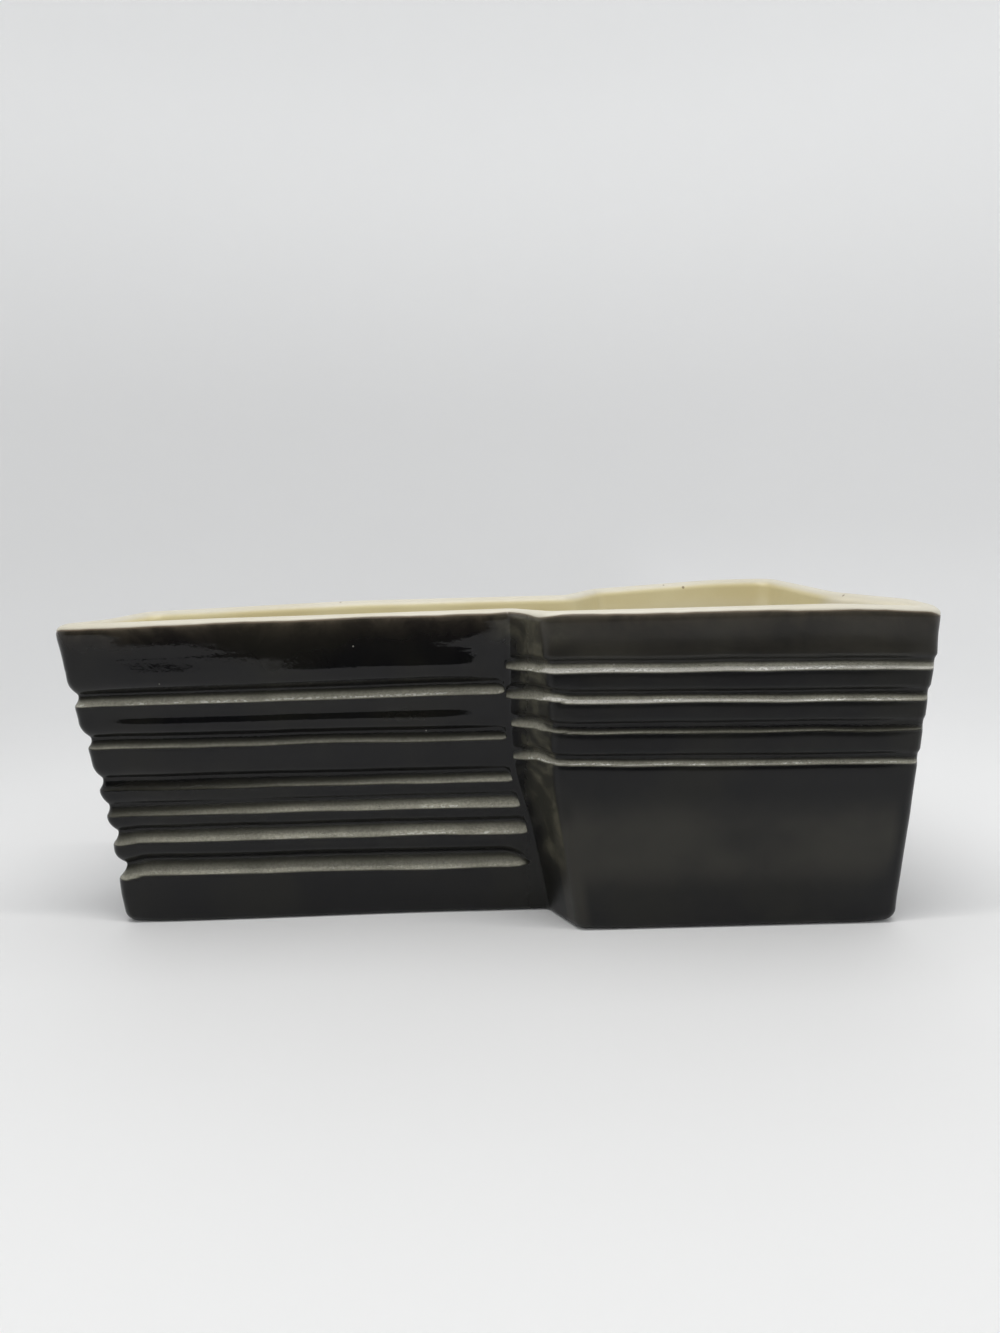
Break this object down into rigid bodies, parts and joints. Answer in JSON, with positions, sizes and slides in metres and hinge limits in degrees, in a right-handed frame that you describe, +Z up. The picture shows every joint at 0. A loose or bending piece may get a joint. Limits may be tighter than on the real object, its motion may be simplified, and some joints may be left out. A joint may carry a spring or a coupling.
{
  "type": "ceramic planter",
  "caption": "Long ceramic trough planter in two staggered boxes, with ledges round its black outside, a cream inside and a rounded cream lip.",
  "frame": {"origin": "the middle of the planter's footprint, on the plane it rests on", "axes": "+X runs along the planter towards the deeper, forward right box, +Z is up and -Y is the front, with the plain lower panel"},
  "size_m": [0.3361, 0.1254, 0.1288],
  "materials": {
    "clay_body": "unglazed fired clay, matt, seen only at the foot",
    "black_outer_glaze": "glossy black glaze that thins to olive grey on the ledges",
    "cream_inner_glaze": "satin to glossy cream glaze with a few dark specks"
  },
  "bodies": {
    "root": {"clay_body": "clay_body", "black_outer_glaze": "black_outer_glaze", "cream_inner_glaze": "cream_inner_glaze"}
  },
  "joints": []
}
